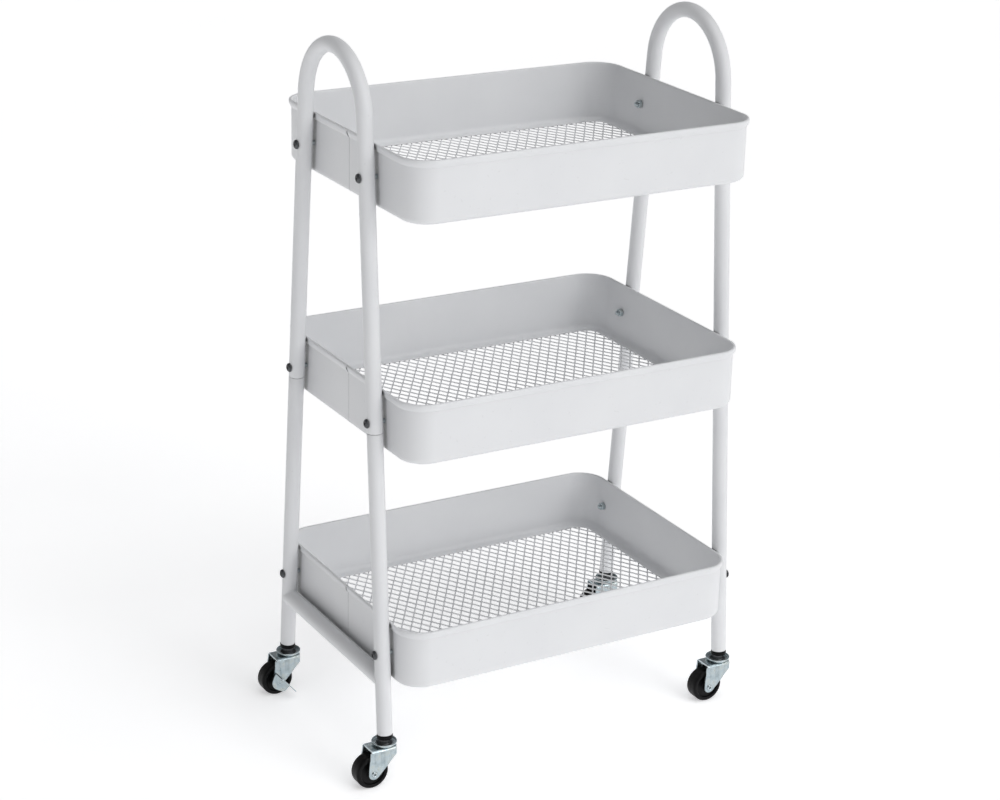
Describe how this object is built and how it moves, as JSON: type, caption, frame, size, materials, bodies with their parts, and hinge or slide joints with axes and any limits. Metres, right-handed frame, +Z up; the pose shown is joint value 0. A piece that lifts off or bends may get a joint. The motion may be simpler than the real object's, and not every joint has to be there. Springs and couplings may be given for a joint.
{
  "type": "rolling utility cart",
  "caption": "Three-tier rolling utility cart: shallow sheet-metal trays with diamond-mesh floors between two looped tube frames, on swivel casters.",
  "frame": {"origin": "on the floor under the middle of the outline, with all casters trailing to -X", "axes": "+X along the trays' long side towards the right side frame, +Y to the rear, +Z up"},
  "size_m": [0.451, 0.288, 0.7385],
  "materials": {
    "white_powder_coat": "satin white powder coat",
    "zinc_plate": "bright zinc plate, bluish",
    "dark_steel": "dark nickel plated screws",
    "black_plastic": "moulded black plastic",
    "black_rubber": "moulded black rubber tread"
  },
  "bodies": {
    "cart": {"tray_wall_top": "white_powder_coat", "tray_mesh_top": "white_powder_coat", "tray_wall_middle": "white_powder_coat", "tray_mesh_middle": "white_powder_coat", "tray_wall_bottom": "white_powder_coat", "tray_mesh_bottom": "white_powder_coat", "upper_frame_left": "white_powder_coat", "cross_tube_left": "white_powder_coat", "lower_leg_front_left": "white_powder_coat", "plug_front_left": "black_plastic", "stem_front_left": "zinc_plate", "screw_top_front_left": "dark_steel", "nut_top_front_left": "zinc_plate", "screw_middle_front_left": "dark_steel", "nut_middle_front_left": "zinc_plate", "screw_bottom_front_left": "dark_steel", "nut_bottom_front_left": "zinc_plate", "lower_leg_rear_left": "white_powder_coat", "plug_rear_left": "black_plastic", "stem_rear_left": "zinc_plate", "screw_top_rear_left": "dark_steel", "nut_top_rear_left": "zinc_plate", "screw_middle_rear_left": "dark_steel", "nut_middle_rear_left": "zinc_plate", "screw_bottom_rear_left": "dark_steel", "nut_bottom_rear_left": "zinc_plate", "upper_frame_right": "white_powder_coat", "cross_tube_right": "white_powder_coat", "lower_leg_front_right": "white_powder_coat", "plug_front_right": "black_plastic", "stem_front_right": "zinc_plate", "screw_top_front_right": "dark_steel", "nut_top_front_right": "zinc_plate", "screw_middle_front_right": "dark_steel", "nut_middle_front_right": "zinc_plate", "screw_bottom_front_right": "dark_steel", "nut_bottom_front_right": "zinc_plate", "lower_leg_rear_right": "white_powder_coat", "plug_rear_right": "black_plastic", "stem_rear_right": "zinc_plate", "screw_top_rear_right": "dark_steel", "nut_top_rear_right": "zinc_plate", "screw_middle_rear_right": "dark_steel", "nut_middle_rear_right": "zinc_plate", "screw_bottom_rear_right": "dark_steel", "nut_bottom_rear_right": "zinc_plate"},
    "caster_front_left": {"fork_front_left": "zinc_plate", "axle_front_left": "zinc_plate"},
    "wheel_front_left": {"wheel_front_left": "black_rubber"},
    "caster_rear_left": {"fork_rear_left": "zinc_plate", "axle_rear_left": "zinc_plate"},
    "wheel_rear_left": {"wheel_rear_left": "black_rubber"},
    "brake_rear_left": {"brake_lever_rear_left": "zinc_plate"},
    "caster_front_right": {"fork_front_right": "zinc_plate", "axle_front_right": "zinc_plate"},
    "wheel_front_right": {"wheel_front_right": "black_rubber"},
    "caster_rear_right": {"fork_rear_right": "zinc_plate", "axle_rear_right": "zinc_plate"},
    "wheel_rear_right": {"wheel_rear_right": "black_rubber"},
    "brake_rear_right": {"brake_lever_rear_right": "zinc_plate"}
  },
  "joints": [
    {"name": "swivel_front_left", "type": "hinge", "parent": "cart", "child": "caster_front_left", "pos_m": [-0.19205, -0.11264, 0.045], "axis": [0, 0, 1], "continuous": true},
    {"name": "wheel_spin_front_left", "type": "hinge", "parent": "caster_front_left", "child": "wheel_front_left", "pos_m": [-0.20805, -0.11264, 0.0175], "axis": [0, 1, 0], "continuous": true},
    {"name": "swivel_rear_left", "type": "hinge", "parent": "cart", "child": "caster_rear_left", "pos_m": [-0.19205, 0.11264, 0.045], "axis": [0, 0, 1], "continuous": true},
    {"name": "wheel_spin_rear_left", "type": "hinge", "parent": "caster_rear_left", "child": "wheel_rear_left", "pos_m": [-0.20805, 0.11264, 0.0175], "axis": [0, 1, 0], "continuous": true},
    {"name": "brake_rear_left", "type": "hinge", "parent": "caster_rear_left", "child": "brake_rear_left", "pos_m": [-0.20805, 0.11264, 0.0175], "axis": [0, 1, 0], "range_deg": [0, 20]},
    {"name": "swivel_front_right", "type": "hinge", "parent": "cart", "child": "caster_front_right", "pos_m": [0.21255, -0.11264, 0.045], "axis": [0, 0, 1], "continuous": true},
    {"name": "wheel_spin_front_right", "type": "hinge", "parent": "caster_front_right", "child": "wheel_front_right", "pos_m": [0.19655, -0.11264, 0.0175], "axis": [0, 1, 0], "continuous": true},
    {"name": "swivel_rear_right", "type": "hinge", "parent": "cart", "child": "caster_rear_right", "pos_m": [0.21255, 0.11264, 0.045], "axis": [0, 0, 1], "continuous": true},
    {"name": "wheel_spin_rear_right", "type": "hinge", "parent": "caster_rear_right", "child": "wheel_rear_right", "pos_m": [0.19655, 0.11264, 0.0175], "axis": [0, 1, 0], "continuous": true},
    {"name": "brake_rear_right", "type": "hinge", "parent": "caster_rear_right", "child": "brake_rear_right", "pos_m": [0.19655, 0.11264, 0.0175], "axis": [0, 1, 0], "range_deg": [0, 20]}
  ]
}
